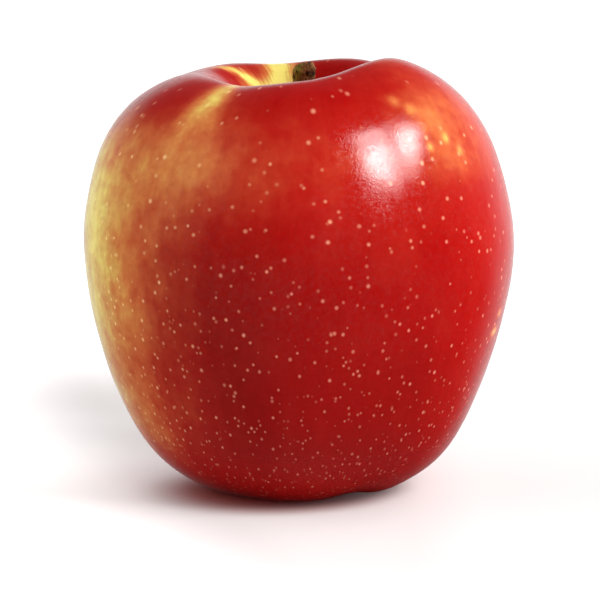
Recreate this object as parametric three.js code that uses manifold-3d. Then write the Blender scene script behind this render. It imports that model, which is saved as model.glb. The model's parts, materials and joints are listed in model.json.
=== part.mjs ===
// A red apple, built as the pieces that it has: the fruit, its woody stem, the dried sepals of the
// calyx and the tuft of withered stamens that they close over.
//
// Millimetres and degrees. +Z is up, and the apple stands on z = 0 on the low feet round its basin.
// -Y is its front and +X its right. Bearings are counted from +X towards +Y, so the front is at 270.
import * as THREE from "three";
import Module from "manifold-3d";
import { mergeVertices } from "three/addons/utils/BufferGeometryUtils.js";

// ---- The fruit: driving dimensions -------------------------------------------------------------

// The mean meridian, from the calyx up to the stem: the name of a place, its radius and its height.
const MERIDIAN = [
  ["pit mouth", 2.6, 7.8],
  ["basin wall", 5.2, 6.6],
  ["basin side", 9.4, 2.6],
  ["foot", 14.1, -0.6],
  ["sole", 20.6, 1.4],
  ["heel", 27.6, 7.2],
  ["haunch", 33.3, 17.5],
  ["lower flank", 37.8, 31.0],
  ["girth", 39.9, 44.5],
  ["upper flank", 38.6, 55.5],
  ["low shoulder", 34.9, 65.9],
  ["shoulder", 28.2, 73.4],
  ["crest", 18.6, 77.2],
  ["funnel rim", 12.0, 73.6],
  ["funnel side", 8.0, 68.4],
  ["funnel foot", 4.2, 63.4],
  ["socket mouth", 2.3, 62.0],
];
const PIT_DEPTH = 3.4; // the hollow that the calyx stands in
const SOCKET_DEPTH = 3.0; // the hole that the stem's root stands in

// The five lobes: their bearings, and how far each lifts the crest round the stem and the heel.
const LOBES = [
  { bearing: 266, lift: -0.4, heel: -0.1 },
  { bearing: 330, lift: 3.4, heel: 0.6 },
  { bearing: 60, lift: 1.5, heel: 0.0 },
  { bearing: 130, lift: 0.7, heel: 0.0 },
  { bearing: 197, lift: 0.1, heel: 0.0 },
];
const LOBE_WIDTH = 26;
const SHOULDER_SWELL = 0.6; // how far the lobes swell the shoulder,
const HEEL_SWELL = 0.4; // the heel,
const OVERALL_SWELL = 0.34; // and the whole fruit

// The grooves between the lobes: how far each dips the crest and arches the sole between the feet.
const GROOVES = [
  { bearing: 303, dip: 0.0, arch: 1.4 },
  { bearing: 18, dip: 0.6, arch: 1.2 },
  { bearing: 97, dip: 0.5, arch: 1.0 },
  { bearing: 162, dip: 0.5, arch: 1.0 },
  { bearing: 234, dip: 1.1, arch: 0.3 },
];
const GROOVE_WIDTH = 15.4;
const SHOULDER_CREASE = 0.25; // how far the grooves draw the shoulder in

// A grown fruit is never quite even: it leans a little, and one side is fuller than the other.
const LEAN = { base: 0.4, top: -0.7 };
const SIDES = [
  { bearing: 180, place: "haunch", swell: 0.75 },
  { bearing: 180, place: "low shoulder", swell: 0.35 },
  { bearing: 0, place: "haunch", swell: -0.55 },
];
const SIDE_REACH = 2.5; // in places of the meridian

const MERIDIAN_STEPS = 54;
const TURN_STEPS = 64;

// ---- The stem: driving dimensions --------------------------------------------------------------

const FIT_GAP = 0.3; // between the flesh and what stands in it

// The stem's middle line, from the root in the socket to the knob, which leans to the front.
const STEM_LINE = [
  [-0.45, 0.0, 59.0 + FIT_GAP],
  [-0.6, 0.2, 64.0],
  [-0.4, 0.3, 69.0],
  [0.2, -0.4, 74.0],
  [0.9, -2.1, 78.4],
];
// Its radius by share of its length: a round root, a thin shaft and a fat knob.
const STEM_SHAPE = [
  [0.0, 1.2],
  [0.03, 1.6],
  [0.16, 1.75],
  [0.35, 1.4],
  [0.55, 1.4],
  [0.7, 1.75],
  [0.84, 2.3],
  [0.94, 2.3],
  [1.0, 1.8],
];
const SCAR_SHAPE = [
  [1.005, 1.35],
  [0.98, 0.9],
  [0.965, 0.0],
];
const RIBS = { count: 5, height: 0.14, twist: 50 }; // low ribs that grow from the shaft to the knob
const STEM_STEPS = 26;
const STEM_SIDES = 24;

// ---- The calyx: driving dimensions -------------------------------------------------------------

// A sepal's middle line as radius and height: up out of the cup, in to the neck, and curled back.
const SEPAL_LINE = [
  [1.9, 9.0],
  [1.75, 7.4],
  [1.7, 6.0],
  [2.4, 4.7],
  [3.7, 4.0],
  [4.7, 4.5],
];
const SEPAL = { count: 5, width: 2.9, tip: 0.7, thickness: 0.65, cupping: 0.35, turn: 20 };
const SEPAL_STEPS = 12;
const CUP = { outer: 2.3, inner: 1.45, top: 10.9, bottom: 8.0 };

// The stamens: a short base in the cup, and thin filaments that pass out through the neck.
const STAMEN = { count: 7, root: 0.32, tip: 0.3, top: 10.4, spread: 3, ring: 0.55 };
const STAMEN_LENGTHS = [5.2, 4.6, 5.5];
const STAMEN_BASE = { radius: 1.1, height: 0.9 };
const STAMEN_SIDES = 7;

// ---- Helpers -----------------------------------------------------------------------------------

const wasm = await Module();
wasm.setup();

const { degToRad, smoothstep } = THREE.MathUtils;
const FULL_TURN = 360;

/** The position of a named place along the meridian. */
function at(place) {
  return MERIDIAN.findIndex(([name]) => name === place);
}

/** Rises smoothly from 0 at the low value to 1 at the peak, and falls to 0 at the high value. */
function hump(value, low, peak, high) {
  return smoothstep(value, low, peak) * (1 - smoothstep(value, peak, high));
}

/** 1 on a bearing, fading to both sides of it. */
function facing(bearing, centre, width) {
  return Math.exp((Math.cos(degToRad(bearing - centre)) - 1) / degToRad(width) ** 2);
}

/** The sum of one property of the lobes or grooves at a bearing. */
function felt(features, width, bearing, property) {
  return features.reduce((sum, one) => sum + one[property] * facing(bearing, one.bearing, width), 0);
}

/** How much of a lobe or groove there is at a bearing, less its mean round the fruit. */
function relief(features, width) {
  const total = (bearing) => features.reduce((sum, one) => sum + facing(bearing, one.bearing, width), 0);
  const round = Array.from({ length: FULL_TURN }, (_, bearing) => total(bearing));
  const mean = round.reduce((sum, value) => sum + value) / FULL_TURN;
  return (bearing) => total(bearing) - mean;
}

/** A geometry as a closed solid that can be joined. */
function solid(geometry) {
  const bare = geometry.clone();
  bare.deleteAttribute("normal");
  bare.deleteAttribute("uv");
  const merged = mergeVertices(bare);
  const vertProperties = new Float32Array(merged.attributes.position.array);
  const triVerts = new Uint32Array(merged.index.array);
  return new wasm.Manifold(new wasm.Mesh({ numProp: 3, vertProperties, triVerts }));
}

/** The solids joined into one geometry. */
function joined(solids) {
  const whole = solids.reduce((sum, one) => sum.add(one)).getMesh();
  const geometry = new THREE.BufferGeometry();
  geometry.setAttribute("position", new THREE.BufferAttribute(whole.vertProperties, 3));
  geometry.setIndex(new THREE.BufferAttribute(whole.triVerts, 1));
  return geometry;
}

/** Moves each vertex of a geometry by a rule that takes the point and the vertex's number. */
function reshaped(geometry, rule) {
  const position = geometry.attributes.position;
  const point = new THREE.Vector3();
  for (let i = 0; i < position.count; i++) {
    point.fromBufferAttribute(position, i);
    rule(point, i);
    position.setXYZ(i, point.x, point.y, point.z);
  }
  geometry.computeVertexNormals();
  return geometry;
}

/** A profile of (radius, height) points turned about the upright Z axis, from its low end up. */
function turned(profile, sides) {
  const points = profile.map(([radius, height]) => new THREE.Vector2(radius, height));
  return new THREE.LatheGeometry(points, sides).rotateX(Math.PI / 2);
}

/** A named mesh of one finish. */
function piece(name, geometry, color, roughness) {
  const mesh = new THREE.Mesh(geometry, new THREE.MeshStandardMaterial({ color, roughness, metalness: 0 }));
  mesh.name = name;
  return mesh;
}

// ---- The fruit ---------------------------------------------------------------------------------

const lobed = relief(LOBES, LOBE_WIDTH);
const grooved = relief(GROOVES, GROOVE_WIDTH);

/** How far the radius grows at a place of the meridian and a bearing. */
function swelling(place, bearing) {
  const skin = smoothstep(place, at("pit mouth"), at("basin side"))
    * (1 - smoothstep(place, at("funnel rim"), at("socket mouth")));
  const shoulder = hump(place, at("lower flank"), at("shoulder"), at("funnel side"));
  const heel = hump(place, at("basin wall"), at("sole"), at("lower flank"));
  const crease = hump(place, at("haunch"), at("low shoulder"), at("funnel rim"));
  const lobes = lobed(bearing) * (shoulder * SHOULDER_SWELL + heel * HEEL_SWELL + skin * OVERALL_SWELL);
  return lobes - grooved(bearing) * crease * SHOULDER_CREASE;
}

/** How far the skin rises at a place and a bearing: the lobes' crests and the arches of the sole. */
function rise(place, bearing) {
  const crest = hump(place, at("girth"), at("crest"), at("funnel foot"));
  const sole = hump(place, at("foot"), at("sole"), at("haunch"));
  const foot = hump(place, at("pit mouth"), at("foot"), at("haunch"));
  const lift = felt(LOBES, LOBE_WIDTH, bearing, "lift") - felt(GROOVES, GROOVE_WIDTH, bearing, "dip");
  const heel = sole * felt(LOBES, LOBE_WIDTH, bearing, "heel");
  return crest * lift + heel + foot * felt(GROOVES, GROOVE_WIDTH, bearing, "arch");
}

/** How far one side stands out along X, on the side that its bearing names. */
function sideways(side, place, bearing) {
  const middle = at(side.place);
  const turn = Math.max(0, Math.cos(degToRad(bearing - side.bearing)));
  const reach = hump(place, middle - SIDE_REACH, middle, middle + SIDE_REACH);
  return side.swell * reach * turn ** 2 * Math.cos(degToRad(side.bearing));
}

/** How far the fruit leans along X at a height. */
function leaning(height) {
  const share = height / MERIDIAN[at("crest")][2];
  return LEAN.base * (1 - share) ** 2 + LEAN.top * share ** 2;
}

/** The rows of the fruit's profile, each a radius, a height and its place on the meridian. */
function fruitRows() {
  const line = new THREE.SplineCurve(MERIDIAN.map(([, radius, height]) => new THREE.Vector2(radius, height)));
  const last = MERIDIAN.length - 1;
  const skin = Array.from({ length: MERIDIAN_STEPS + 1 }, (_, step) => {
    const share = step / MERIDIAN_STEPS;
    const { x, y } = line.getPoint(share);
    return [x, y, share * last];
  });
  const [, pitRadius, pitMouth] = MERIDIAN[0];
  const [, socketRadius, socketMouth] = MERIDIAN[last];
  const pit = pitMouth + PIT_DEPTH;
  const floor = socketMouth - SOCKET_DEPTH;
  return [[0, pit, 0], [pitRadius, pit, 0], ...skin, [socketRadius, floor, last], [0, floor, last]];
}

/** The fruit: the meridian turned, then lobed, leaned and set down flat on its feet. */
function fruitGeometry() {
  const rows = fruitRows();
  return reshaped(turned(rows, TURN_STEPS), (point, i) => {
    const [radius, height, place] = rows[i % rows.length];
    const bearing = THREE.MathUtils.radToDeg(Math.atan2(point.y, point.x));
    const outward = radius && 1 + swelling(place, bearing) / radius;
    const side = SIDES.reduce((sum, one) => sum + sideways(one, place, bearing), 0);
    point.z = Math.max(0, height + rise(place, bearing));
    point.x = point.x * outward + side + leaning(point.z);
    point.y *= outward;
  });
}

// ---- The stem ----------------------------------------------------------------------------------

/** The rows of the stem's profile, each a radius and a share of its length. */
function stemRows() {
  const shape = new THREE.SplineCurve(STEM_SHAPE.map(([share, radius]) => new THREE.Vector2(radius, share)));
  const bark = shape.getPoints(STEM_STEPS).map(({ x, y }) => [x, y]);
  return [[0, 0], ...bark, ...SCAR_SHAPE.map(([share, radius]) => [radius, share])];
}

/** The stem: its profile turned, ribbed towards the knob, and bent along its middle line. */
function stemGeometry() {
  const rows = stemRows();
  const line = new THREE.CatmullRomCurve3(STEM_LINE.map((place) => new THREE.Vector3(...place)));
  const upright = new THREE.Vector3(0, 0, 1);
  return reshaped(turned(rows, STEM_SIDES), (point, i) => {
    const share = rows[i % rows.length][1];
    const bearing = Math.atan2(point.y, point.x);
    const rib = Math.cos(RIBS.count * (bearing + degToRad(RIBS.twist) * share)) * RIBS.height * share ** 2;
    const along = Math.min(share, 1);
    const tangent = line.getTangentAt(along);
    const bend = new THREE.Quaternion().setFromUnitVectors(upright, tangent);
    const past = (share - along) * line.getLength();
    point.setZ(past).multiplyScalar(1 + rib / RIBS.count).applyQuaternion(bend).add(line.getPointAt(along));
  });
}

// ---- The calyx ---------------------------------------------------------------------------------

/** One sepal: a blade that tapers to its tip, cupped across and curled along its middle line. */
function sepalGeometry(turn) {
  const line = new THREE.SplineCurve(SEPAL_LINE.map(([radius, height]) => new THREE.Vector2(radius, height)));
  const blade = new THREE.BoxGeometry(1, 1, 1, 4, 1, SEPAL_STEPS);
  return reshaped(blade, (point) => {
    const share = point.z + 0.5;
    const middle = line.getPoint(share);
    const tangent = line.getTangent(share);
    const width = THREE.MathUtils.lerp(SEPAL.width, SEPAL.tip, share ** 2);
    const out = point.y * SEPAL.thickness - (2 * point.x) ** 2 * SEPAL.cupping * (1 - share);
    point.set(middle.x - tangent.y * out, point.x * width, middle.y + tangent.x * out);
  }).rotateZ(degToRad(turn));
}

/** The calyx: a short cup in the pit, and the sepals that grow from its rim. */
function calyxGeometry() {
  const { outer, inner, top, bottom } = CUP;
  const wall = [[inner, bottom], [outer, bottom], [outer, top], [inner, top], [inner, bottom]];
  const sepals = Array.from({ length: SEPAL.count }, (_, i) => {
    return solid(sepalGeometry(SEPAL.turn + (i * FULL_TURN) / SEPAL.count));
  });
  return joined([solid(turned(wall, STEM_SIDES)), ...sepals]);
}

/** One filament, hanging from its root and leaning outwards. */
function filament(i) {
  const { count, root, tip, top, spread, ring } = STAMEN;
  const length = STAMEN_LENGTHS[i % STAMEN_LENGTHS.length];
  const thread = new THREE.CylinderGeometry(root, tip, length, STAMEN_SIDES);
  thread.rotateX(Math.PI / 2).translate(0, 0, -length / 2);
  thread.rotateY(-degToRad(spread)).translate(i === 0 ? 0 : ring, 0, top);
  return thread.rotateZ(degToRad((i * FULL_TURN) / (count - 1)));
}

/** The stamens: the filaments and the base that holds them. */
function stamenGeometry() {
  const { radius, height } = STAMEN_BASE;
  const base = new THREE.CylinderGeometry(radius, radius, height, 2 * STAMEN_SIDES);
  base.rotateX(Math.PI / 2).translate(0, 0, STAMEN.top);
  return joined([base, ...Array.from({ length: STAMEN.count }, (_, i) => filament(i))].map(solid));
}

// ---- The apple ---------------------------------------------------------------------------------

const apple = new THREE.Group();
apple.add(piece("fruit", fruitGeometry(), 0xb01f1c, 0.25));
apple.add(piece("stem", stemGeometry(), 0x5b4527, 0.8));
apple.add(piece("calyx", calyxGeometry(), 0x6f5a3a, 0.9));
apple.add(piece("stamens", stamenGeometry(), 0x3d2c1f, 0.9));

export default apple;
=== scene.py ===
"""Dresses a red apple: its waxy skin, woody stem, dried calyx and stamens, on a pale studio floor.

Lengths are in metres and in the frame's own axes: +Z up, -Y to the front and +X to the right.
Bearings are in degrees from +X towards +Y, so the front of the apple is at 270. Finishes count in
millimetres, and so do the sizes whose description says so.
"""

import json
import logging
import math
import random
from collections.abc import Callable, Iterator
from contextlib import contextmanager
from dataclasses import dataclass
from enum import Enum

import bmesh
import bpy
from mathutils import Matrix, Vector

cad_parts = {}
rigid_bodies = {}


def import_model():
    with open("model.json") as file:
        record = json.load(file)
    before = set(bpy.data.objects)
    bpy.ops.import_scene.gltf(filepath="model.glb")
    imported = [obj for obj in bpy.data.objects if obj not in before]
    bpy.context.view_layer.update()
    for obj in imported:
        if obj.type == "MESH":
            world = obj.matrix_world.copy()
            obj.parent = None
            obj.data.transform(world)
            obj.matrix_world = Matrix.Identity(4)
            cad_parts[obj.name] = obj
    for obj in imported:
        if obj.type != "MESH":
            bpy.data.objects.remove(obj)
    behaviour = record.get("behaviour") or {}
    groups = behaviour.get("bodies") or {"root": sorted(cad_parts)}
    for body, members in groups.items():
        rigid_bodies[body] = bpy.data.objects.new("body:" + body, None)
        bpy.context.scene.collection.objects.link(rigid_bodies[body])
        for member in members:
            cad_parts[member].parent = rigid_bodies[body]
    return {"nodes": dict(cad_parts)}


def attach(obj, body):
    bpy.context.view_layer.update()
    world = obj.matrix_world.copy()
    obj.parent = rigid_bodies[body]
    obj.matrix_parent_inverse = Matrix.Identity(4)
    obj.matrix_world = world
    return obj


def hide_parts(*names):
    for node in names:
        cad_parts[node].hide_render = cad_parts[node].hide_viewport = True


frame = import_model()

log = logging.getLogger("apple")

MM = 0.001
BODY = "root"

Colour = tuple[float, float, float, float]


def srgb(red: float, green: float, blue: float) -> Colour:
    """Turns a screen colour into the linear one that shaders take.

    Args:
        red: the red part, from 0 to 255.
        green: the green part.
        blue: the blue part.

    Returns:
        The linear colour, with full alpha.
    """
    def linear(part: float) -> float:
        """One part of the colour, made linear."""
        share = part / 255
        return share / 12.92 if share <= 0.04045 else ((share + 0.055) / 1.055) ** 2.4

    return linear(red), linear(green), linear(blue), 1.0


# ---- Shader maths ----


class Scalar:
    """A number that a shader works out, wrapped so that its maths reads as Python."""

    def __init__(self, shader: "Shader", socket: bpy.types.NodeSocket) -> None:
        """Wraps a socket of a shader."""
        self.shader = shader
        self.socket = socket

    def __add__(self, other: "Number") -> "Scalar":
        """The sum."""
        return self.shader.maths("ADD", self, other)

    def __sub__(self, other: "Number") -> "Scalar":
        """The difference."""
        return self.shader.maths("SUBTRACT", self, other)

    def __rsub__(self, other: "Number") -> "Scalar":
        """The difference, the other way round."""
        return self.shader.maths("SUBTRACT", other, self)

    def __mul__(self, other: "Number") -> "Scalar":
        """The product."""
        return self.shader.maths("MULTIPLY", self, other)

    def __truediv__(self, other: "Number") -> "Scalar":
        """The quotient."""
        return self.shader.maths("DIVIDE", self, other)

    def __pow__(self, other: "Number") -> "Scalar":
        """The power."""
        return self.shader.maths("POWER", self, other)

    __radd__ = __add__
    __rmul__ = __mul__

    def clamped(self) -> "Scalar":
        """The number held between 0 and 1."""
        return self.shader.maths("MINIMUM", self.shader.maths("MAXIMUM", self, 0.0), 1.0)

    def step(self, start: "Number", end: "Number") -> "Scalar":
        """A smooth step from 0 at the start to 1 at the end, which may be the lower one.

        Args:
            start: where the step begins.
            end: where it is complete.

        Returns:
            The step's height, from 0 to 1.
        """
        settings = {"interpolation_type": "SMOOTHSTEP"}
        inputs = {"Value": self, "From Min": start, "From Max": end}
        node = self.shader.node("ShaderNodeMapRange", settings, inputs)
        return Scalar(self.shader, node.outputs[0])

    def rise(self, amount: float, start: float, end: float) -> "Scalar":
        """A smooth step that is so high."""
        return amount * self.step(start, end)


Number = Scalar | float


class Shader:
    """The nodes of one material or world, made in code."""

    def __init__(self, owner: bpy.types.Material | bpy.types.World) -> None:
        """Clears the nodes of a material or world.

        Args:
            owner: that material or world.
        """
        owner.use_nodes = True
        self.owner = owner
        self.tree = owner.node_tree
        self.tree.nodes.clear()

    @classmethod
    def named(cls, name: str) -> "Shader":
        """Starts a new material of that name."""
        return cls(bpy.data.materials.new(name))

    def node(self, kind: str, settings: dict | None = None,
             inputs: dict | None = None) -> bpy.types.Node:
        """Adds one node.

        Args:
            kind: the node's type.
            settings: its properties, set first. "stops" gives a colour ramp its places and colours.
            inputs: a value, a Scalar or a socket for each input, by name or number.

        Returns:
            The node.
        """
        node = self.tree.nodes.new(kind)
        for name, value in (settings or {}).items():
            if name == "stops":
                self.fill_ramp(node.color_ramp.elements, value)
            else:
                setattr(node, name, value)
        for name, value in (inputs or {}).items():
            if isinstance(value, Scalar):
                value = value.socket
            if isinstance(value, bpy.types.NodeSocket):
                self.tree.links.new(value, node.inputs[name])
            else:
                node.inputs[name].default_value = value
        return node

    @staticmethod
    def fill_ramp(elements: bpy.types.ColorRampElements, stops: list[tuple[float, Colour]]) -> None:
        """Gives a colour ramp its stops, in order of place.

        Args:
            elements: the ramp's stops.
            stops: the place and colour that each is to have.
        """
        while len(elements) < len(stops):
            elements.new(1.0)
        for element, (place, colour) in zip(elements, stops):
            element.position = place
            element.color = colour

    def maths(self, operation: str, *values: Number) -> Scalar:
        """Adds a Math node of that operation on the values."""
        node = self.node("ShaderNodeMath", {"operation": operation}, dict(enumerate(values)))
        return Scalar(self, node.outputs[0])

    def vector(self, x: Number, y: Number, z: Number) -> bpy.types.NodeSocket:
        """A vector of three numbers."""
        return self.node("ShaderNodeCombineXYZ", None, {0: x, 1: y, 2: z}).outputs[0]

    def place(self) -> tuple[bpy.types.NodeSocket, Scalar, Scalar, Scalar]:
        """The place on the piece, in millimetres.

        Returns:
            The vector, then its X, Y and Z.
        """
        coordinates = self.node("ShaderNodeTexCoord").outputs["Object"]
        inputs = {0: coordinates, "Scale": 1 / MM}
        spot = self.node("ShaderNodeVectorMath", {"operation": "SCALE"}, inputs).outputs[0]
        parts = self.node("ShaderNodeSeparateXYZ", None, {0: spot}).outputs
        return spot, *(Scalar(self, part) for part in parts)

    def noise(self, where: bpy.types.NodeSocket, scale: float, detail: float = 2.0,
              twist: float = 0.0) -> Scalar:
        """Soft noise from 0 to 1.

        Args:
            where: the coordinates that it is read at.
            scale: how many features it has to the unit.
            detail: how many finer layers it has.
            twist: how far it is distorted.

        Returns:
            The noise.
        """
        inputs = {"Vector": where, "Scale": scale, "Detail": detail, "Distortion": twist}
        return Scalar(self, self.node("ShaderNodeTexNoise", None, inputs).outputs[0])

    def blend(self, share: Number, first: object, second: object,
              mode: str = "MIX") -> bpy.types.NodeSocket:
        """One colour over another.

        Args:
            share: how much of the second colour there is.
            first: a colour or a colour socket.
            second: the colour that goes over it.
            mode: how the two are blended.

        Returns:
            The blended colour.
        """
        settings = {"data_type": "RGBA", "blend_type": mode}
        return self.node("ShaderNodeMix", settings, {0: share, 6: first, 7: second}).outputs[2]

    def ramp(self, value: Scalar, stops: list[tuple[float, Colour]]) -> bpy.types.NodeSocket:
        """The colour that a ramp has at a value."""
        return self.node("ShaderNodeValToRGB", {"stops": stops}, {0: value}).outputs[0]

    def bump(self, height: Scalar, depth: float) -> bpy.types.NodeSocket:
        """A surface normal from a height of 0 to 1, with its depth in millimetres."""
        inputs = {"Height": height, "Distance": depth * MM}
        return self.node("ShaderNodeBump", None, inputs).outputs[0]

    def finish(self, surface: dict) -> bpy.types.Material:
        """Ends the material in one Principled surface.

        Args:
            surface: the inputs of the surface, by name.

        Returns:
            The finished material.
        """
        principled = self.node("ShaderNodeBsdfPrincipled", None, surface)
        self.node("ShaderNodeOutputMaterial", None, {"Surface": principled.outputs[0]})
        return self.owner


# ---- Finishes ----


@dataclass(frozen=True)
class Patch:
    """A part of the skin where the ground colour shows through the blush, or the blush is deeper.

    Attributes:
        bearing: its middle's bearing, in degrees.
        spread: how far it fades round the fruit, in degrees.
        turn: its middle's turn along the meridian: 0 at the girth, 90 at the crest and -90 at
            the feet.
        reach: how far it fades along the meridian, in degrees of that turn.
        strength: how clearly it shows.
        edge: how squarely it ends along the meridian: 2 is soft.
        lean: how many degrees of bearing it shifts for each degree of turn.
    """

    bearing: float
    spread: float
    turn: float
    reach: float
    strength: float
    edge: float = 4.0
    lean: float = 0.0


@dataclass(frozen=True)
class Dots:
    """One layer of lenticels, laid out in cells that grow with the height.

    Attributes:
        cell: the cells' size in millimetres at the base.
        growth: how much larger they are for each millimetre up.
        shift: where the layer's pattern starts.
        low_size: a dot's radius near the base, as a share of its cell.
        high_size: its radius above the girth.
        core: where it is full, as a share of that radius.
        strength: how clearly it shows.
    """

    cell: float
    growth: float
    shift: float
    low_size: float
    high_size: float
    core: float
    strength: float


@dataclass(frozen=True)
class SkinPlace:
    """A place on the skin, as the skin's formulas read it.

    Attributes:
        spot: the place itself, in millimetres.
        radius: its distance from the axis.
        z: its height.
        cosine: the cosine of its bearing.
        sine: the sine of its bearing.
        turn: its turn along the meridian, in degrees.
        upper: 0 on the lower skin and 1 on the upper.
    """

    spot: bpy.types.NodeSocket
    radius: Scalar
    z: Scalar
    cosine: Scalar
    sine: Scalar
    turn: Scalar
    upper: Scalar


@dataclass(frozen=True)
class SkinFinish:
    """The skin: crimson blush in streaks over a yellow-green ground, pale lenticels and a thin wax.

    Attributes:
        heart: the radius and height of the point that turns along the meridian are counted about.
        bare: where the ground colour shows.
        deep_blush_and_painted_light: deeper blush, with painted shade in the hollow and painted
            haze by the highlight.
        ground_stops: the colours from full blush to bare ground.
        lenticel: the colour of the lenticels on the blush.
        pale_lenticel: their colour on bare ground.
        dots: the layers that they come in.
        girth: the radius at the girth.
        dot_evening: how far their cells keep the girth's size towards the axis over the crest, and
            the heights between which that sets in.
        dot_heights: the heights between which they grow from their low size to their high one.
        dot_thinning: the share of them that is missing above, and where that sets in.
        dot_sizes: the least size that luck gives one, and how much it may add.
        dot_strengths: the same for how clearly it shows.
        dot_stacking: how closely their cells are stacked in height.
        dot_border: the radii between which they set in, round the hollow and the basin.
        streak_layers: for each layer of streaks, how closely they stand round the fruit, how many
            degrees of turn they run, their detail, their twist and their weight.
        tones: how bright the colour is, and what the streaks and the mottle add to it.
        flank_fall: what is added down the flank, and the turns between which that sets in.
        sole_painted_fill: the same for the sole, where it is painted fill light that brightens the
            underside.
        hollow: how bare the stem's hollow is, and the turns between which that sets in.
        basin: the same for the calyx's basin.
        cloud_scales: the scales of the broad clouds and of the blotches.
        breaking: how much streaks, mottle, clouds and blotches break up the bare colour.
        faint: how much of it streaks, clouds and blotches show on the full blush.
        streaky: how strong that breaking by streaks is on the flank.
        streaky_crest: how much stronger it is over the crest, and where that sets in.
        streaky_sole: the same for the sole.
        relief: the depth of the pores and streaks, in millimetres.
        quiet: the share of that depth that is left on the sole.
        waking: the heights between which the relief and the blotches of scuffs set in.
        roughness: the roughness of the smooth wax, and what scuffs add to it.
        scuffing: the scale of the scuffs, and the gain and threshold that they are cut out with.
        dull: how scuffed the lower skin is.
        dull_sole: how much more the sole is, and the heights between which that sets in.
        shine: the level of its mirror reflections.
    """

    heart: tuple[float, float] = (14.0, 40.0)
    bare: tuple[Patch, ...] = (
        Patch(190, 26, 21, 37, 0.97),
        Patch(190, 24, -38, 30, 0.72),
        Patch(199, 8, 44, 12, -0.1),
        Patch(235, 12, 51, 20, 0.3, 2.0),
        Patch(232, 5.0, 79, 19, 0.7, lean=-0.05),
        Patch(271, 18, 46, 15, 0.19, 2.0),
        Patch(297, 10, 26, 18, 0.05, 2.0),
        Patch(328, 13, 38, 14, 0.09, 2.0),
        Patch(318, 14, 80, 9, 0.16),
        Patch(322, 16, 56, 15, 0.33),
        Patch(312, 6, 61, 7, 0.12),
        Patch(304.5, 1.5, 66, 2.2, 0.4, 2.0),
        Patch(308.5, 1.3, 62.5, 1.8, 0.34, 2.0),
        Patch(318, 1.0, 53, 1.6, 0.42, 2.0),
        Patch(310.5, 0.9, 51, 1.3, 0.42, 2.0),
        Patch(322.5, 0.9, 49, 1.5, 0.38, 2.0),
        Patch(341.5, 1.7, -13.5, 2.4, 0.6, 2.0),
        Patch(340.5, 2.2, -21.5, 2.6, 0.7, 2.0),
        Patch(105, 7.0, 90, 15, 1.15),
        Patch(122, 15, 98, 7.5, 0.75),
        Patch(138, 3.8, 88, 8, 0.68, lean=-1.5),
        Patch(130, 15, 92, 12, 0.2),
        Patch(97, 7, 50, 32, 0.42),
    )
    deep_blush_and_painted_light: tuple[Patch, ...] = (
        Patch(250, 12, -25, 45, 0.24),
        Patch(306, 13, -48, 28, 0.12),
        # painted highlight haze: this patch lightens the skin round the highlight
        Patch(281, 15, 45, 19, -0.2, 2.0),
        Patch(333, 13, -20, 62, -0.16, 2.0),
        Patch(212, 38, -5, 55, 0.17),
        Patch(256, 9, 74, 10, 0.05),
        # painted shade: these two patches darken the stem's hollow
        Patch(72, 22, 98, 16, 0.25),
        Patch(120, 18, 98, 12, 0.14),
    )
    ground_stops: tuple[tuple[float, Colour], ...] = (
        (0.0, srgb(138, 9, 7)),
        (0.12, srgb(142, 22, 15)),
        (0.25, srgb(151, 45, 26)),
        (0.4, srgb(167, 78, 42)),
        (0.55, srgb(179, 106, 55)),
        (0.7, srgb(187, 138, 70)),
        (0.85, srgb(195, 166, 84)),
        (1.0, srgb(208, 191, 99)),
    )
    lenticel: Colour = srgb(226, 138, 116)
    pale_lenticel: Colour = srgb(232, 206, 136)
    dots: tuple[Dots, ...] = (
        Dots(0.93, 0.03, 0.0, 0.23, 0.19, 0.1, 0.74),
        Dots(1.0, 0.035, 17.3, 0.215, 0.175, 0.05, 0.68),
        Dots(3.4, 0.02, 41.7, 0.0, 0.11, 0.0, 0.4),
    )
    girth: float = 36.0
    dot_evening: tuple[float, float, float] = (0.45, 45.0, 76.0)
    dot_heights: tuple[float, float] = (8.0, 50.0)
    dot_thinning: tuple[float, float, float] = (0.5, 46.0, 64.0)
    dot_sizes: tuple[float, float] = (0.85, 0.4)
    dot_strengths: tuple[float, float] = (0.4, 0.6)
    dot_stacking: float = 0.8
    dot_border: tuple[float, float] = (13.0, 20.0)
    streak_layers: tuple[tuple[float, float, float, float, float], ...] = (
        (7.0, 50.0, 3.0, 0.4, 1.3), (26.0, 16.0, 2.0, 0.3, 0.7))
    tones: tuple[float, float, float] = (0.97, 0.1, 0.2)
    flank_fall: tuple[float, float, float] = (-0.05, 50.0, -25.0)
    # painted fill light: the sole's colour is brightened for light that the underside lacks
    sole_painted_fill: tuple[float, float, float] = (0.42, -57.0, -84.0)
    hollow: tuple[float, float, float] = (0.45, 104.0, 116.0)
    basin: tuple[float, float, float] = (0.8, -97.0, -106.0)
    cloud_scales: tuple[float, float] = (0.12, 0.35)
    breaking: tuple[float, float, float, float] = (1.6, 0.2, 0.5, 0.5)
    faint: tuple[float, float, float] = (0.06, 0.16, 0.06)
    streaky: float = 0.07
    streaky_crest: tuple[float, float, float] = (0.88, 80.0, 90.0)
    streaky_sole: tuple[float, float, float] = (0.6, -90.0, -104.0)
    relief: float = 0.021
    quiet: float = 0.04
    waking: tuple[float, float] = (14.0, 46.0)
    roughness: tuple[float, float] = (0.06, 0.2)
    scuffing: tuple[float, float, float] = (1.3, 3.0, 1.1)
    dull: float = 0.55
    dull_sole: tuple[float, float, float] = (0.65, 20.0, 6.0)
    shine: float = 0.45

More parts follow.
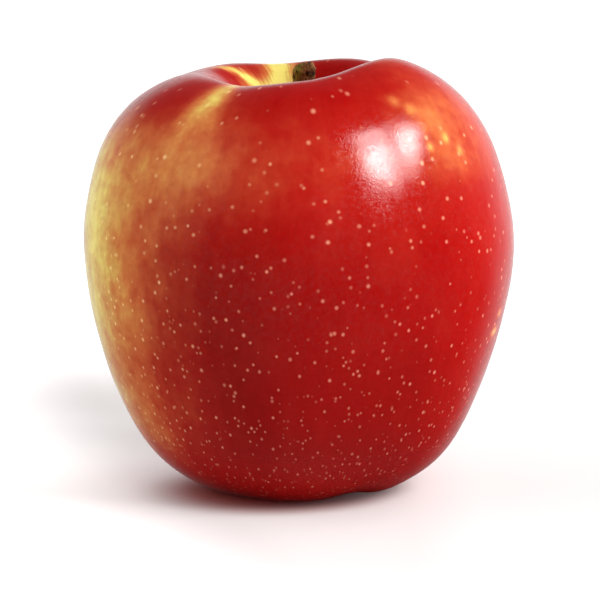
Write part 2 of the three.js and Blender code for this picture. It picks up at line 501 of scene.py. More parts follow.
    def material(self) -> bpy.types.Material:
        """Makes the skin's material.

        Returns:
            The material.
        """
        shader = Shader.named("apple_skin")
        at = self.place(shader)
        streaks = self.streaks(shader, at)
        mottle = shader.noise(at.spot, 0.8, 4.0)
        ground = self.ground(shader, at, streaks, mottle)
        toned = shader.blend(1.0, shader.ramp(ground, list(self.ground_stops)),
                             self.tone(shader, at, streaks, mottle), "MULTIPLY")
        dots = self.lenticels(shader, at)
        pale = shader.blend((ground * 1.6).clamped(), self.lenticel, self.pale_lenticel)
        pores = shader.noise(at.spot, 2.2, 2.0, 0.6)
        grain = shader.noise(at.spot, 6.0, 2.0)
        strength = self.quiet + (1.0 - self.quiet) * at.upper
        height = (pores + grain * 0.4 + streaks * 0.5 - dots * 0.4) * strength
        smooth, rougher = self.roughness
        return shader.finish({
            "Base Color": shader.blend(dots, toned, pale),
            "Roughness": smooth + rougher * self.scuffs(shader, at),
            "IOR": 1.5,
            "Specular IOR Level": self.shine,
            "Normal": shader.bump(height, self.relief),
        })

    def place(self, shader: Shader) -> SkinPlace:
        """Works out what the formulas need to know of the place on the skin.

        Args:
            shader: the skin's shader.

        Returns:
            The place.
        """
        spot, x, y, z = shader.place()
        radius = shader.maths("SQRT", x * x + y * y) + 0.001
        heart_radius, heart_height = self.heart
        turn = shader.maths("ARCTAN2", z - heart_height, radius - heart_radius) * math.degrees(1)
        return SkinPlace(spot, radius, z, x / radius, y / radius, turn, z.step(*self.waking))

    def tone(self, shader: Shader, at: SkinPlace, streaks: Scalar,
             mottle: Scalar) -> bpy.types.NodeSocket:
        """How bright the skin's colour is, with painted light and shade in it.

        Args:
            shader: the skin's shader.
            at: the place.
            streaks: the blush's streaks.
            mottle: the skin's fine mottle.

        Returns:
            The grey that the colour is multiplied by.
        """
        even, by_streaks, by_mottle = self.tones
        tone = even + by_streaks * streaks + by_mottle * mottle + at.turn.rise(*self.flank_fall)
        # painted light and shade: the sole is brightened, two deeper patches darken the stem's
        # hollow and one lightens round the highlight
        tone = tone + at.turn.rise(*self.sole_painted_fill) - self.cover(shader, at, self.deep_blush_and_painted_light)
        return shader.vector(tone, tone, tone)

    def scuffs(self, shader: Shader, at: SkinPlace) -> Scalar:
        """How scuffed the wax is: in blotches above, and evenly below.

        Args:
            shader: the skin's shader.
            at: the place.

        Returns:
            The share of scuffs, from 0 to 1.2.
        """
        scale, gain, threshold = self.scuffing
        blotches = (shader.noise(at.spot, scale, 3.0, 0.8) * gain - threshold).clamped()
        even = self.dull + at.z.rise(*self.dull_sole)
        return blotches * at.upper + even * (1.0 - at.upper)

    def streaks(self, shader: Shader, at: SkinPlace) -> Scalar:
        """Streaks that run from the stem to the calyx.

        Args:
            shader: the skin's shader.
            at: the place.

        Returns:
            How strong the blush's streaks are, from 0 to 1.
        """
        total = -0.5
        for across, along, detail, twist, weight in self.streak_layers:
            where = shader.vector(at.cosine * across, at.sine * across, at.turn / along)
            total = shader.noise(where, 1.0, detail, twist) * weight + total
        return total.clamped()

    @staticmethod
    def cover(shader: Shader, at: SkinPlace, patches: tuple[Patch, ...]) -> Scalar:
        """How strongly a set of patches shows at a place.

        Args:
            shader: the skin's shader.
            at: the place.
            patches: the patches.

        Returns:
            The sum of their strengths there.
        """
        total = 0.0 * at.turn
        for patch in patches:
            middle = math.radians(patch.bearing)
            ahead = at.cosine * math.cos(middle) + at.sine * math.sin(middle)
            aside = at.sine * math.cos(middle) - at.cosine * math.sin(middle)
            along = at.turn - patch.turn
            shift = along * math.radians(patch.lean)
            across = 2.0 - 2.0 * ahead - 2.0 * shift * aside + shift * shift
            spread = math.radians(patch.spread)
            end = (along * along / patch.reach ** 2) ** (patch.edge / 2)
            fade = shader.maths("EXPONENT", -1.0 * across / (2.0 * spread * spread) - end)
            total = total + fade * patch.strength
        return total

    def ground(self, shader: Shader, at: SkinPlace, streaks: Scalar, mottle: Scalar) -> Scalar:
        """How bare the ground colour is, from 0 to 1.

        Args:
            shader: the skin's shader.
            at: the place.
            streaks: the blush's streaks.
            mottle: the skin's fine mottle.

        Returns:
            The share of ground colour.
        """
        turn = at.turn
        ends = turn.rise(*self.hollow) + turn.rise(*self.basin)
        total = self.cover(shader, at, self.bare) + ends
        streaky = self.streaky + turn.rise(*self.streaky_crest) + turn.rise(*self.streaky_sole)
        cloud, blotch = (shader.noise(at.spot, scale, 3.0) - 0.5 for scale in self.cloud_scales)
        stripe, fleck = streaks - 0.5, mottle - 0.5
        by_stripe, by_fleck, by_cloud, by_blotch = self.breaking
        varied = total * (1.0 + stripe * by_stripe * streaky + fleck * by_fleck
                          + cloud * by_cloud + blotch * by_blotch)
        by_stripe, by_cloud, by_blotch = self.faint
        faint = cloud * by_cloud + stripe * by_stripe + blotch * by_blotch
        return (varied + faint).clamped()

    def lenticels(self, shader: Shader, at: SkinPlace) -> Scalar:
        """The pale dots: small and dense at the base, larger and wider apart at the crest.

        Args:
            shader: the skin's shader.
            at: the place.

        Returns:
            How strongly a dot shows, from 0 to 1.
        """
        drawn = at.radius + (self.girth - at.radius) * at.z.rise(*self.dot_evening)
        grown = at.z.step(*self.dot_heights)
        thinned = at.z.rise(*self.dot_thinning)
        least_size, more_size = self.dot_sizes
        least_strength, more_strength = self.dot_strengths
        shown = 0.0 * at.z
        for layer in self.dots:
            cell = layer.cell + at.z * layer.growth
            across = drawn / cell
            up = shader.maths("LOGARITHM", cell, math.e) * (self.dot_stacking / layer.growth)
            where = shader.vector(at.cosine * across + layer.shift, at.sine * across, up)
            cells = shader.node("ShaderNodeTexVoronoi", {"feature": "F1"},
                                {"Vector": where, "Scale": 1.0}).outputs
            distance = Scalar(shader, cells["Distance"])
            draws = shader.node("ShaderNodeSeparateColor", None, {0: cells["Color"]}).outputs
            bigger, clearer, luck = (Scalar(shader, draw) for draw in draws)
            spread = layer.high_size - layer.low_size
            size = (layer.low_size + spread * grown) * (least_size + more_size * bigger)
            kept = (luck - thinned).step(0.0, 0.05)
            core = distance.step(size, size * layer.core) * layer.strength
            clear = core * kept * (least_strength + more_strength * clearer)
            shown = shader.maths("MAXIMUM", shown, clear)
        return (shown * at.radius.step(*self.dot_border)).clamped()


@dataclass(frozen=True)
class BarkFinish:
    """The stem: green-brown bark, pale ridges and dark crevices, partly painted highlight and
    shade.

    Attributes:
        green: the colour of its left side.
        brown: the colour of its right side.
        tan_wear_and_highlight: the pale colour of rubbed bark on the ridges, partly painted
            highlight.
        dark: the colour of the crevices.
    """

    green: Colour = srgb(96, 100, 22)
    brown: Colour = srgb(70, 40, 16)
    tan_wear_and_highlight: Colour = srgb(176, 120, 66)
    # dark: the colour of the crevices, partly painted shade for the scar's dark hollow.
    dark: Colour = srgb(22, 9, 5)

    def material(self) -> bpy.types.Material:
        """Makes the bark's material.

        Returns:
            The material.
        """
        shader = Shader.named("apple_stem_bark")
        spot, x, _, z = shader.place()
        grain = shader.noise(spot, 0.9, 5.0, 0.8)
        fibres = shader.noise(shader.vector(x * 3.0, z * 0.4, 0.0), 1.0, 3.0, 0.5)
        side = (x + (grain - 0.5) * 2.0).step(0.9, -0.7)
        bark = shader.blend(side * 0.85, self.brown, self.green)
        # painted highlight: the raised ridges turn pale, partly rubbed bark and partly highlights
        worn_and_lit = shader.blend((grain * 1.6 + fibres * 0.6 - 1.0).clamped(), bark, self.tan_wear_and_highlight)
        # painted shade: the dark crevices stand in partly for the shade in the scar's hollow
        crevice_and_shade = shader.noise(spot, 0.7, 2.0, 1.0).step(0.54, 0.43)
        colour = shader.blend(crevice_and_shade * 0.85, worn_and_lit, self.dark)
        return shader.finish({
            "Base Color": colour,
            "Roughness": 0.6 + 0.25 * grain,
            "Specular IOR Level": 0.2,
            "Normal": shader.bump(grain * 0.7 + fibres * 0.3, 0.35),
        })


@dataclass(frozen=True)
class DryFinish:
    """A dry, downy piece of the old flower.

    Attributes:
        name: the material's name.
        dull: the colour of its bare parts.
        pale: the colour of its down.
    """

    name: str
    dull: Colour
    pale: Colour

    def material(self) -> bpy.types.Material:
        """Makes the dry material.

        Returns:
            The material.
        """
        shader = Shader.named(self.name)
        spot, *_ = shader.place()
        down = shader.noise(spot, 3.2, 4.0, 0.5)
        blotch = shader.noise(spot, 0.5, 3.0)
        share = (down * 0.7 + blotch * 0.8 - 0.35).clamped()
        return shader.finish({
            "Base Color": shader.blend(share, self.dull, self.pale),
            "Roughness": 0.8 + 0.15 * down,
            "Normal": shader.bump(down, 0.15),
        })


class Finish(Enum):
    """The finishes of the apple's pieces."""

    SKIN = SkinFinish()
    BARK = BarkFinish()
    SEPAL = DryFinish("apple_dry_sepal", srgb(84, 66, 36), srgb(168, 146, 104))
    STAMEN = DryFinish("apple_dry_stamen", srgb(42, 26, 16), srgb(110, 80, 48))


# ---- The modelling bench ----


def take(piece: bpy.types.Object) -> None:
    """Makes a piece the only one that is selected, and the active one.

    Args:
        piece: the piece.
    """
    for other in bpy.context.view_layer.objects:
        other.select_set(False)
    piece.select_set(True)
    bpy.context.view_layer.objects.active = piece


@contextmanager
def editing(piece: bpy.types.Object) -> Iterator[None]:
    """Keeps a piece in edit mode, with all of it selected at the start.

    Args:
        piece: the piece.

    Returns:
        The context that the piece is edited in.
    """
    take(piece)
    bpy.ops.object.mode_set(mode="EDIT")
    bpy.ops.mesh.select_all(action="SELECT")
    yield
    bpy.ops.object.mode_set(mode="OBJECT")


def pick(piece: bpy.types.Object, kind: str, test: Callable) -> None:
    """Selects the faces, edges or vertices of a piece in edit mode that pass a test, and no others.

    Args:
        piece: the piece, in edit mode.
        kind: "faces", "edges" or "verts".
        test: takes one of them and says whether it is wanted.
    """
    modes = {"faces": "FACE", "edges": "EDGE", "verts": "VERT"}
    bpy.ops.mesh.select_mode(type=modes[kind])
    bpy.ops.mesh.select_all(action="DESELECT")
    shape = bmesh.from_edit_mesh(piece.data)
    for element in getattr(shape, kind):
        if test(element):
            element.select_set(True)
    shape.select_flush_mode()
    bmesh.update_edit_mesh(piece.data)


def added(make: Callable, **settings: object) -> bpy.types.Object:
    """Adds one primitive, with nothing else selected.

    Args:
        make: the operator.
        settings: what it is given.

    Returns:
        The new object.
    """
    for other in bpy.context.view_layer.objects:
        other.select_set(False)
    make(**settings)
    return bpy.context.view_layer.objects.active


def joined(parts: list[bpy.types.Object], name: str) -> bpy.types.Object:
    """Joins parts into one piece.

    Args:
        parts: the parts.
        name: the piece's name.

    Returns:
        The piece.
    """
    take(parts[0])
    for part in parts:
        part.select_set(True)
    bpy.ops.object.join()
    piece = bpy.context.view_layer.objects.active
    piece.name = name
    return piece


def linked(name: str, data: bpy.types.ID) -> bpy.types.Object:
    """Puts a mesh, light or camera into the scene.

    Args:
        name: the object's name.
        data: what it holds.

    Returns:
        The object.
    """
    holder = bpy.data.objects.new(name, data)
    bpy.context.scene.collection.objects.link(holder)
    return holder


def draw_out(step: Vector, middle: Vector, scale: float) -> None:
    """Extrudes what is selected by a step, then scales it about its new middle."""
    bpy.ops.mesh.extrude_region_move(TRANSFORM_OT_translate={"value": step})
    bpy.ops.transform.resize(value=(scale, scale, scale), center_override=middle)


def modify(piece: bpy.types.Object, kind: str, **settings: object) -> None:
    """Adds one modifier to a piece and applies it.

    Args:
        piece: the piece.
        kind: the modifier's type.
        settings: its settings.
    """
    take(piece)
    modifier = piece.modifiers.new(kind.lower(), kind)
    for name, value in settings.items():
        setattr(modifier, name, value)
    bpy.ops.object.modifier_apply(modifier=modifier.name)


def subdivide(piece: bpy.types.Object, levels: int) -> None:
    """Rounds a piece by some levels of subdivision."""
    modify(piece, "SUBSURF", levels=levels, render_levels=levels)


def roughen(piece: bpy.types.Object, size: float, depth: float, middle: float,
            group: str = "") -> None:
    """Moves a piece's surface in and out by soft noise.

    Args:
        piece: the piece.
        size: the width of the noise's features.
        depth: how far it moves the surface in all.
        middle: the share of the depth that lies inwards.
        group: the vertex group that limits it.
    """
    texture = bpy.data.textures.new(f"{piece.name}_relief", "CLOUDS")
    texture.noise_scale = size
    modify(piece, "DISPLACE", texture=texture, texture_coords="LOCAL", strength=depth,
           mid_level=middle, vertex_group=group)


def dress(piece: bpy.types.Object, finish: Finish, node: str) -> bpy.types.Object:
    """Smooths a finished piece, gives it its finish, and puts it in its node's place.

    Args:
        piece: the piece.
        finish: what it looks like.
        node: the CAD node that it replaces.

    Returns:
        The piece.
    """
    take(piece)
    bpy.ops.object.shade_smooth()
    piece.data.materials.clear()
    piece.data.materials.append(finish.value.material())
    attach(piece, BODY)
    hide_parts(node)
    return piece


def stalk(name: str, middles: list[Vector], radii: list[float], sides: int) -> bpy.types.Object:
    """Draws a round stalk out along its middle line, from a disc at its root.

    Args:
        name: the piece's name.
        middles: the points of its middle line.
        radii: its radius at each of them.
        sides: how many sides it has.

    Returns:
        The closed stalk.
    """
    piece = added(bpy.ops.mesh.primitive_circle_add, vertices=sides, radius=radii[0],
                  fill_type="NGON", location=(0, 0, 0))
    piece.name = name
    with editing(piece):
        bpy.ops.transform.translate(value=middles[0])
        for i in range(1, len(middles)):
            draw_out(middles[i] - middles[i - 1], middles[i], radii[i] / radii[i - 1])
        bpy.ops.mesh.select_all(action="SELECT")
        bpy.ops.mesh.normals_make_consistent(inside=False)
    return piece


# ---- The apple's pieces ----


@dataclass
class Fruit:
    """The fruit: the node's own form, made fine, with its skin closed round the stem.

    Attributes:
        node: the CAD node that it stands for.
        socket: the radius of the stem's socket and the heights of its floor and its mouth.
        collar: how far the skin follows the stem down in each step, and the shares that those
            steps close in by.
        levels: how often the form is subdivided.
        waviness: the width and depth of the skin's soft unevenness.
        calm: the heights between which that unevenness sets in, above the feet.
    """

    node: str = "fruit"
    socket: tuple[float, float, float] = (2.9 * MM, 58.5 * MM, 61.9 * MM)
    collar: tuple[float, float, float] = (1.3 * MM, 0.66, 0.9)
    levels: int = 2
    waviness: tuple[float, float] = (9.0 * MM, 0.2 * MM)
    calm: tuple[float, float] = (3.0 * MM, 12.0 * MM)

    def build(self) -> bpy.types.Object:
        """Builds and dresses the fruit.

        Returns:
            The piece.
        """
        piece = linked("fruit_skin", frame["nodes"][self.node].data.copy())
        with editing(piece):
            bpy.ops.mesh.customdata_custom_splitnormals_clear()
            bpy.ops.mesh.remove_doubles(threshold=0.002 * MM)
            bpy.ops.mesh.tris_convert_to_quads()
            self.close_round_stem(piece)
        subdivide(piece, self.levels)
        roughen(piece, *self.waviness, middle=0.5, group=self.calm_group(piece))
        return dress(piece, Finish.SKIN, self.node)

    def close_round_stem(self, piece: bpy.types.Object) -> None:
        """Takes the socket out of the copy and draws the skin in along the stem instead.

        Args:
            piece: the copy of the node's form, in edit mode.
        """
        radius, floor, mouth = self.socket
        pick(piece, "faces",
             lambda face: self.in_socket(face.calc_center_median(), radius, floor, mouth))
        bpy.ops.mesh.delete(type="FACE")
        pick(piece, "edges", lambda edge: edge.is_boundary)
        rim = [v.co.copy() for v in bmesh.from_edit_mesh(piece.data).verts if v.select]
        middle = sum(rim, Vector()) / len(rim)
        depth, *shares = self.collar
        for share in shares:
            middle.z -= depth
            draw_out(Vector((0, 0, -depth)), middle, share)
        bpy.ops.mesh.edge_face_add()
        bpy.ops.mesh.select_all(action="SELECT")
        bpy.ops.mesh.normals_make_consistent(inside=False)

    @staticmethod
    def in_socket(place: Vector, radius: float, floor: float, mouth: float) -> bool:
        """Whether a place lies on the socket's wall or floor."""
        return floor < place.z < mouth and math.hypot(place.x, place.y) < radius

    def calm_group(self, piece: bpy.types.Object) -> str:
        """Weighs the skin by height, so that the feet stay flat.

        Args:
            piece: the skin.

        Returns:
            The name of the vertex group.
        """
        group = piece.vertex_groups.new(name="uneven")
        low, high = self.calm
        for vertex in piece.data.vertices:
            weight = min(1.0, max(0.0, (vertex.co.z - low) / (high - low)))
            group.add([vertex.index], weight, "REPLACE")
        return group.name


@dataclass
class Stem:
    """The stem: a short woody stalk with a fat knob and a dished scar.

    The line, the radii and the scar are in millimetres.

    Attributes:
        line: the points of its middle line, from the root in the socket to the knob's end.
        radii: its radius at each of them.
        sides: how many sides it is drawn with.
        scar: the steps of the dished scar, each a depth and a share that it closes in.
        tilt: how far the knob's end is turned to the front, in degrees.
        tilted: how much of the knob turns with it.
        relief: for the bark's lumps and its grain, the width and depth, and the share inwards.
    """

    line: tuple[tuple[float, float, float], ...] = (
        (-0.45, 0.0, 59.3), (-0.5, 0.05, 60.2), (-0.55, 0.15, 62.5), (-0.6, 0.2, 65.0),
        (-0.5, 0.3, 68.0), (-0.25, 0.15, 71.0), (0.05, -0.2, 73.3), (0.4, -0.8, 75.3),
        (0.75, -1.5, 77.2), (0.95, -2.1, 78.6),
    )
    radii: tuple[float, ...] = (1.3, 1.65, 1.7, 1.45, 1.35, 1.4, 1.65, 2.1, 2.35, 1.95)
    sides: int = 14
    scar: tuple[tuple[float, float], ...] = ((0.15, 0.72), (-0.7, 0.7), (-0.5, 0.5))
    tilt: float = 24.0
    tilted: float = 1.6 * MM
    relief: tuple[tuple[float, float, float], ...] = (
        (1.5 * MM, 0.7 * MM, 0.6), (0.4 * MM, 0.16 * MM, 0.5))

    def build(self) -> bpy.types.Object:
        """Builds and dresses the stem.

        Returns:
            The piece.
        """
        middles = [Vector(place) * MM for place in self.line]
        piece = stalk("stem_bark", middles, [radius * MM for radius in self.radii], self.sides)
        with editing(piece):
            self.sink_scar(piece, middles[-1])
        subdivide(piece, 3)
        for layer in self.relief:
            roughen(piece, *layer)
        return dress(piece, Finish.BARK, "stem")

    def sink_scar(self, piece: bpy.types.Object, end: Vector) -> None:
        """Dishes the knob's end and tilts it to the front.

        Args:
            piece: the stem, in edit mode.
            end: the middle of the knob's end.
        """
        just_below = end.z - 0.1 * MM
        pick(piece, "faces",
             lambda face: face.normal.z > 0.9 and face.calc_center_median().z > just_below)
        middle = end.copy()
        for depth, share in self.scar:
            middle.z += depth * MM
            draw_out(Vector((0, 0, depth * MM)), middle, share)
        pick(piece, "verts", lambda vertex: vertex.co.z > end.z - self.tilted)
        bpy.ops.transform.rotate(value=math.radians(self.tilt), orient_axis="X",
                                 center_override=end)


@dataclass
class Calyx:
    """The calyx: five dried sepals on the rim of a short cup.

    The line, the widths and the cup are in millimetres.

    Attributes:
        count: how many sepals there are.
        line: a sepal's middle line as radius and height, from the cup to its curled tip.
        widths: its width at each of those points.
        thickness: how thick a dry sepal is.
        rib: how far its middle stands out.
        curl: the width and depth of its crumpling, and the share that lies inwards.
        first: the first sepal's bearing, in degrees.
        sway: how far a sepal may stand off its even place, in degrees.
        cup: the inner and outer radius of the cup, and its lower and upper height.
    """

    count: int = 5
    line: tuple[tuple[float, float], ...] = (
        (1.9, 9.4), (1.85, 8.4), (1.75, 7.3), (1.7, 6.2), (2.0, 5.2), (2.8, 4.5), (3.8, 4.2),
        (4.5, 4.6),
    )
    widths: tuple[float, ...] = (2.3, 2.8, 2.9, 2.7, 2.3, 1.7, 1.0, 0.35)
    thickness: float = 0.35 * MM
    rib: float = 0.35 * MM
    curl: tuple[float, float, float] = (1.1 * MM, 0.5 * MM, 0.5)
    first: float = 20.0
    sway: float = 7.0
    cup: tuple[float, float, float, float] = (1.5, 2.25, 8.0, 10.8)

    def build(self) -> bpy.types.Object:
        """Builds and dresses the calyx.

        Returns:
            The piece.
        """
        parts = [self.cup_ring(), *(self.sepal(i) for i in range(self.count))]
        return dress(joined(parts, "calyx_sepals"), Finish.SEPAL, "calyx")

    def sepal(self, number: int) -> bpy.types.Object:
        """Models one sepal, at its own bearing and with its own curl.

        Args:
            number: the sepal's number, which its draws start from.

        Returns:
            The sepal.
        """
        draw = random.Random(number)
        places = [Vector((radius, 0, height)) * MM for radius, height in self.line]
        first, width = places[0], self.widths[0]
        piece = added(bpy.ops.mesh.primitive_grid_add, x_subdivisions=1, y_subdivisions=4, size=1.0)
        piece.name = f"sepal_{number}"
        with editing(piece):
            bpy.ops.transform.rotate(value=math.radians(90), orient_axis="Y",
                                     center_override=(0, 0, 0))
            bpy.ops.transform.resize(value=(1, width * MM, 0.4 * MM), center_override=(0, 0, 0))
            bpy.ops.transform.translate(value=first)
            pick(piece, "edges", lambda edge: all(v.co.z < first.z for v in edge.verts))
            for i in range(1, len(places)):
                step = places[i] - places[i - 1]
                bpy.ops.mesh.extrude_region_move(TRANSFORM_OT_translate={"value": step})
                share = self.widths[i] / self.widths[i - 1]
                bpy.ops.transform.resize(value=(1, share, 1), center_override=places[i])
            pick(piece, "verts", lambda vertex: abs(vertex.co.y) < 0.02 * MM)
            bpy.ops.transform.translate(value=(self.rib, 0, 0))
        modify(piece, "SOLIDIFY", thickness=self.thickness, offset=0.0)
        subdivide(piece, 2)
        roughen(piece, *self.curl)
        sway = draw.uniform(-self.sway, self.sway)
        bearing = math.radians(self.first + number * 360 / self.count + sway)
        piece.data.transform(Matrix.Rotation(bearing, 4, "Z"))
        return piece

    def cup_ring(self) -> bpy.types.Object:
        """Models the short cup that the sepals grow from.

        Returns:
            The cup.
        """
        inner, outer, low, high = (size * MM for size in self.cup)
        piece = added(bpy.ops.mesh.primitive_circle_add, vertices=24, radius=inner,
                      fill_type="NOTHING")
        with editing(piece):
            bpy.ops.transform.translate(value=(0, 0, low))
            draw_out(Vector(), Vector((0, 0, low)), outer / inner)
            draw_out(Vector((0, 0, high - low)), Vector((0, 0, high)), 1.0)
            draw_out(Vector(), Vector((0, 0, high)), inner / outer)
            draw_out(Vector((0, 0, low - high)), Vector((0, 0, low)), 1.0)
            bpy.ops.mesh.select_all(action="SELECT")
            bpy.ops.mesh.remove_doubles(threshold=0.01 * MM)
            bpy.ops.mesh.normals_make_consistent(inside=False)
        subdivide(piece, 1)
        return piece


@dataclass
class Stamens:
    """The stamens: a tuft of withered filaments, each with a shrunken head, in millimetres.

    Attributes:
        count: how many filaments there are.
        ring: the radius of the ring that they stand on.
        top: the height of their roots, in the cup.
        lengths: the shortest and the longest.
        bends: how far outwards the tips may bend, the least and the most.
        shares: the places along a filament where its radius is given.
        radii: its radius at each of them, widest at the head.
    """

    count: int = 9
    ring: float = 0.55
    top: float = 10.6
    lengths: tuple[float, float] = (4.6, 5.6)
    bends: tuple[float, float] = (-0.2, 0.45)
    shares: tuple[float, ...] = (0.0, 0.3, 0.6, 0.82, 0.9, 0.97, 1.0)
    radii: tuple[float, ...] = (0.2, 0.15, 0.13, 0.13, 0.24, 0.2, 0.08)

    def build(self) -> bpy.types.Object:
        """Builds and dresses the tuft.

        Returns:
            The piece.
        """
        draw = random.Random(5)
        parts = [self.filament(i, draw) for i in range(self.count)]
        return dress(joined(parts, "stamen_tuft"), Finish.STAMEN, "stamens")

    def filament(self, number: int, draw: random.Random) -> bpy.types.Object:
        """Models one filament, which hangs from its root with a slight bend.

        Args:
            number: the filament's number.
            draw: where its length and bend are drawn from.

        Returns:
            The filament.
        """
        bearing = number * 2 * math.pi / self.count
        outward = Vector((math.cos(bearing), math.sin(bearing), 0))
        length = draw.uniform(*self.lengths)
        bend = draw.uniform(*self.bends)
        middles = []
        for share in self.shares:
            hanging = Vector((0, 0, self.top - length * share))
            middles.append((outward * (self.ring + bend * share ** 2) + hanging) * MM)
        piece = stalk(f"filament_{number}", middles, [radius * MM for radius in self.radii], 6)
        subdivide(piece, 1)
        return piece


# ---- The studio ----


@dataclass
class Studio:
    """A pale floor, a white surround that is dark on the camera's side, and a softbox of two panes.

    Attributes:
        distance: how far the camera stands from the point that it looks at.
        elevation: how far above the horizon it stands, in degrees.
        target: the point that it looks at.
        lens: the focal length, in millimetres on a 36 mm sensor.
        panes: each pane's bearing, elevation and lean in degrees, its width and height in
            metres, and its glow.
        pane_aim: the point that the panes are turned to.
        pane_distance: how far they stand from it.
        back: how far behind the surround begins and is full, as the cosine of the angle to its
            middle, and its dark and its bright level.
        back_slope: its level in the middle, and how much it gains to the right.
        back_bearing: the bearing of its middle.
        below: the heights of view between which the surround sets in.
        overhead: the heights of view between which it dims again.
        overhead_dimming: the share of it that is lost there.
        foot_card: the radii at which the foot's shade ends and is full, in millimetres.
        foot_painted_shadow: the radii at which the floor's painted shadow ends and is full, in
            millimetres.
        floor_and_shadow_colours: the floor's colour, and the dark red of that painted contact
            shadow.
        foot_middle: the middle of that painted shadow and of the floor's glow, in millimetres.
        foot_glow: the radii at which the floor's painted glow begins and is full, and its least
            level.
        washes: what is added to that glow: the direction that it is counted along, as the parts
            of X and Y, the distances where it begins and is full, in millimetres, and how much.
        cool_from: how far back the glow begins and ends its turn from warm to cool.
        warmth: how warm and how cool it turns: painted warm bounce light in front, cooler light
            behind.
        fills: each soft light's bearing, elevation and softness in degrees, and its strength.
    """

    distance: float = 600 * MM
    elevation: float = 8.35
    target: tuple[float, float, float] = (-0.14 * MM, 0.0, 34.75 * MM)
    lens: float = 193.6
    panes: tuple[tuple[float, float, float, float, float, float], ...] = (
        (323.6, 41.5, 9.0, 0.15, 0.38, 12.0), (342.8, 38.5, 30.0, 0.1, 0.28, 12.0),
        (321.5, 36.5, 9.0, 0.09, 0.18, 17.0), (343.2, 41.0, 30.0, 0.07, 0.13, 19.0))
    pane_aim: tuple[float, float, float] = (0.0, 0.0, 40 * MM)
    pane_distance: float = 0.6
    back: tuple[float, float, float, float] = (0.32, 1.02, 0.03, 1.15)
    back_slope: tuple[float, float] = (0.86, 0.3)
    back_bearing: float = 92.0
    below: tuple[float, float] = (-0.68, -0.1)
    overhead: tuple[float, float] = (0.26, 0.57)
    overhead_dimming: float = 0.85
    foot_card: tuple[float, float] = (29.0, 15.0)
    foot_painted_shadow: tuple[float, float] = (25.0, 13.0)
    floor_and_shadow_colours: tuple[Colour, Colour] = (srgb(186, 180, 179), srgb(142, 82, 78))
    foot_middle: tuple[float, float] = (-6.0, -6.0)
    foot_glow: tuple[float, float, float] = (10.0, 28.0, 0.1)
    washes: tuple[tuple[float, float, float, float, float], ...] = (
        (1.0, 0.0, 20.0, -5.0, 0.07), (1.0, 0.0, 18.0, 34.0, 0.12), (1.0, 0.25, -18.0, -50.0, 0.5),
        (-0.5, 1.0, 70.0, 112.0, -0.12), (0.0, 1.0, 90.0, 175.0, 0.65),
        (0.0, 1.0, -60.0, -110.0, 0.15))
    cool_from: tuple[float, float] = (-20.0, 40.0)
    warmth: float = 0.02
    fills: tuple[tuple[float, float, float, float], ...] = (
        (182, 20, 80, 2.6), (140, 8, 40, 1.2), (32, 22, 60, 2.8), (46, 8, 60, 4.2),
        (290, 6, 40, 1.0))

    def build(self) -> None:
        """Sets up the floor, the surround, the lights and the camera."""
        bpy.context.scene.view_settings.view_transform = "Standard"
        self.floor()
        self.surround()
        for number, pane in enumerate(self.panes):
            self.pane(number, *pane)
        for number, fill in enumerate(self.fills):
            self.soft_fill(number, *fill)
        self.camera()

    def camera(self) -> None:
        """Makes the camera and points it at the apple."""
        lens = bpy.data.cameras.new("camera")
        lens.lens = self.lens
        lens.sensor_width = 36.0
        camera = linked("camera", lens)
        angle = math.radians(self.elevation)
        back = Vector((0, -math.cos(angle), math.sin(angle)))
        camera.location = Vector(self.target) + back * self.distance
        camera.rotation_euler = (math.pi / 2 - angle, 0, 0)
        bpy.context.scene.camera = camera

    def floor(self) -> None:
        """Lays the floor just under the apple's feet, with a painted glow that is least by the
        foot.
        """
        floor = added(bpy.ops.mesh.primitive_plane_add, size=6.0, location=(0, 0, -0.04 * MM))
        floor.name = "studio_floor"
        shader = Shader.named("studio_floor")
        _, x, y, _ = shader.place()
        aside, ahead = x - self.foot_middle[0], y - self.foot_middle[1]
        away = shader.maths("SQRT", aside * aside + ahead * ahead)
        start, end, glow = self.foot_glow
        # painted light and shade: the floor glows, and these washes raise or lower that glow to
        # shape its shadow
        for across, along, near, far, strength in self.washes:
            glow = (x * across + y * along).step(near, far) * strength + glow
        glow = away.step(start, end) * glow
        cooler = (2.0 * y.step(*self.cool_from) - 1.0) * self.warmth
        # painted shadow: the floor turns dark red near the foot, for the contact shadow and the
        # apple's red bounce light
        painted_shadow = away.step(*self.foot_painted_shadow)
        floor.data.materials.append(shader.finish({
            "Base Color": shader.blend(painted_shadow, *self.floor_and_shadow_colours),
            "Roughness": 0.9, "Specular IOR Level": 0.0,
            "Emission Color": shader.vector(glow - cooler, glow, glow), "Emission Strength": 1.0,
        }))
        floor.visible_glossy = False
        self.foot_shade()

    def foot_shade(self) -> None:
        """Lays a dark disc that only reflections see, for the shade under the apple."""
        outer, inner = self.foot_card
        card = added(bpy.ops.mesh.primitive_circle_add, vertices=64, radius=outer * MM,
                     fill_type="NGON", location=(0, 0, -0.02 * MM))
        card.name = "studio_foot_shade"
        shader = Shader.named("studio_foot_shade")
        _, x, y, _ = shader.place()
        away = shader.maths("SQRT", x * x + y * y)
        card.data.materials.append(shader.finish({
            "Base Color": srgb(40, 8, 8), "Roughness": 1.0, "Specular IOR Level": 0.0,
            "Alpha": away.step(outer, inner),
        }))
        card.visible_camera = False
        card.visible_diffuse = False
        card.visible_transmission = False
        card.visible_shadow = False

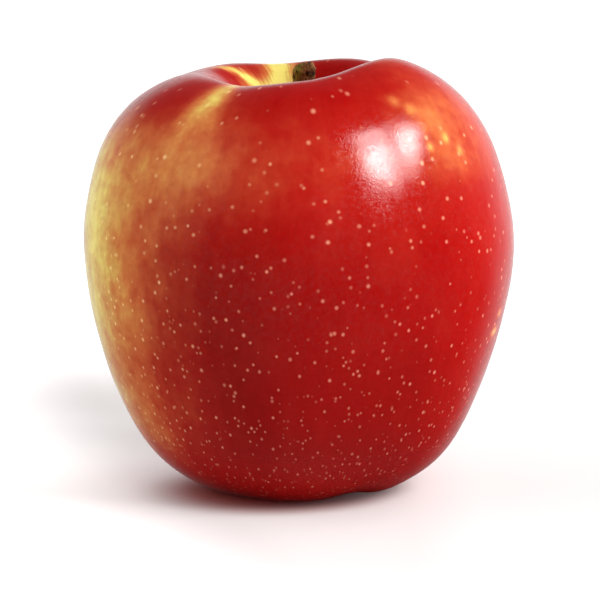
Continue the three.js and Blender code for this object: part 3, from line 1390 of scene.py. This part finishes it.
    def surround(self) -> None:
        """Makes the surround: white behind the apple, dark overhead and where the camera stands."""
        world = bpy.data.worlds.new("studio")
        bpy.context.scene.world = world
        shader = Shader(world)
        view = shader.node("ShaderNodeTexCoord").outputs["Generated"]
        parts = shader.node("ShaderNodeSeparateXYZ", None, {0: view}).outputs
        x, y, z = (Scalar(shader, part) for part in parts)
        bearing = math.radians(self.back_bearing)
        start, end, dark, bright = self.back
        behind = (x * math.cos(bearing) + y * math.sin(bearing)).step(start, end)
        level, slope = self.back_slope
        above = 1.0 - self.overhead_dimming * z.step(*self.overhead)
        behind = behind * (level + slope * x) * z.step(*self.below) * above
        glow = dark + behind * (bright - dark)
        seen = Scalar(shader, shader.node("ShaderNodeLightPath").outputs["Is Camera Ray"])
        strength = shader.maths("MAXIMUM", glow, seen)
        background = shader.node("ShaderNodeBackground", None, {"Strength": strength})
        shader.node("ShaderNodeOutputWorld", None, {"Surface": background.outputs[0]})

    @staticmethod
    def outwards(bearing: float, elevation: float) -> Vector:
        """The direction out from the apple at a bearing and an elevation."""
        flat, up = math.radians(bearing), math.radians(elevation)
        return Vector((math.cos(flat) * math.cos(up), math.sin(flat) * math.cos(up), math.sin(up)))

    def pane(self, number: int, bearing: float, elevation: float, lean: float,
             width: float, height: float, glow: float) -> None:
        """Hangs one pane of the softbox, turned to the apple.

        Args:
            number: its number, for its name.
            bearing: the bearing that it stands at.
            elevation: its elevation.
            lean: how far it leans to one side.
            width: its width.
            height: its height.
            glow: how bright its face is.
        """
        light = bpy.data.lights.new(f"pane_{number}", "AREA")
        light.shape = "RECTANGLE"
        light.size, light.size_y = width, height
        light.energy = glow * math.pi * width * height
        lamp = linked(light.name, light)
        out = self.outwards(bearing, elevation)
        lamp.location = Vector(self.pane_aim) + out * self.pane_distance
        leaning = Matrix.Rotation(math.radians(-lean), 3, "Z")
        lamp.rotation_euler = (out.to_track_quat("Z", "Y").to_matrix() @ leaning).to_euler()

    def soft_fill(self, number: int, bearing: float, elevation: float, softness: float,
                  strength: float) -> None:
        """Adds a very soft light from one side that leaves no highlight of its own.

        Args:
            number: its number, for its name.
            bearing: the bearing that it comes from.
            elevation: its elevation.
            softness: the angle that it spreads over.
            strength: how strong it is.
        """
        light = bpy.data.lights.new(f"fill_{number}", "SUN")
        light.angle = math.radians(softness)
        light.energy = strength
        lamp = linked(light.name, light)
        out = self.outwards(bearing, elevation)
        lamp.rotation_euler = out.to_track_quat("Z", "Y").to_euler()
        lamp.visible_glossy = False


# ---- The script ----


def main() -> None:
    """Builds the apple's pieces and the studio."""
    logging.basicConfig(level=logging.INFO, format="%(name)s: %(message)s")
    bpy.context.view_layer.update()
    for part in (Fruit(), Stem(), Calyx(), Stamens()):
        piece = part.build()
        log.info("%s: %d faces", piece.name, len(piece.data.polygons))
    Studio().build()


if __name__ == "__main__":
    main()
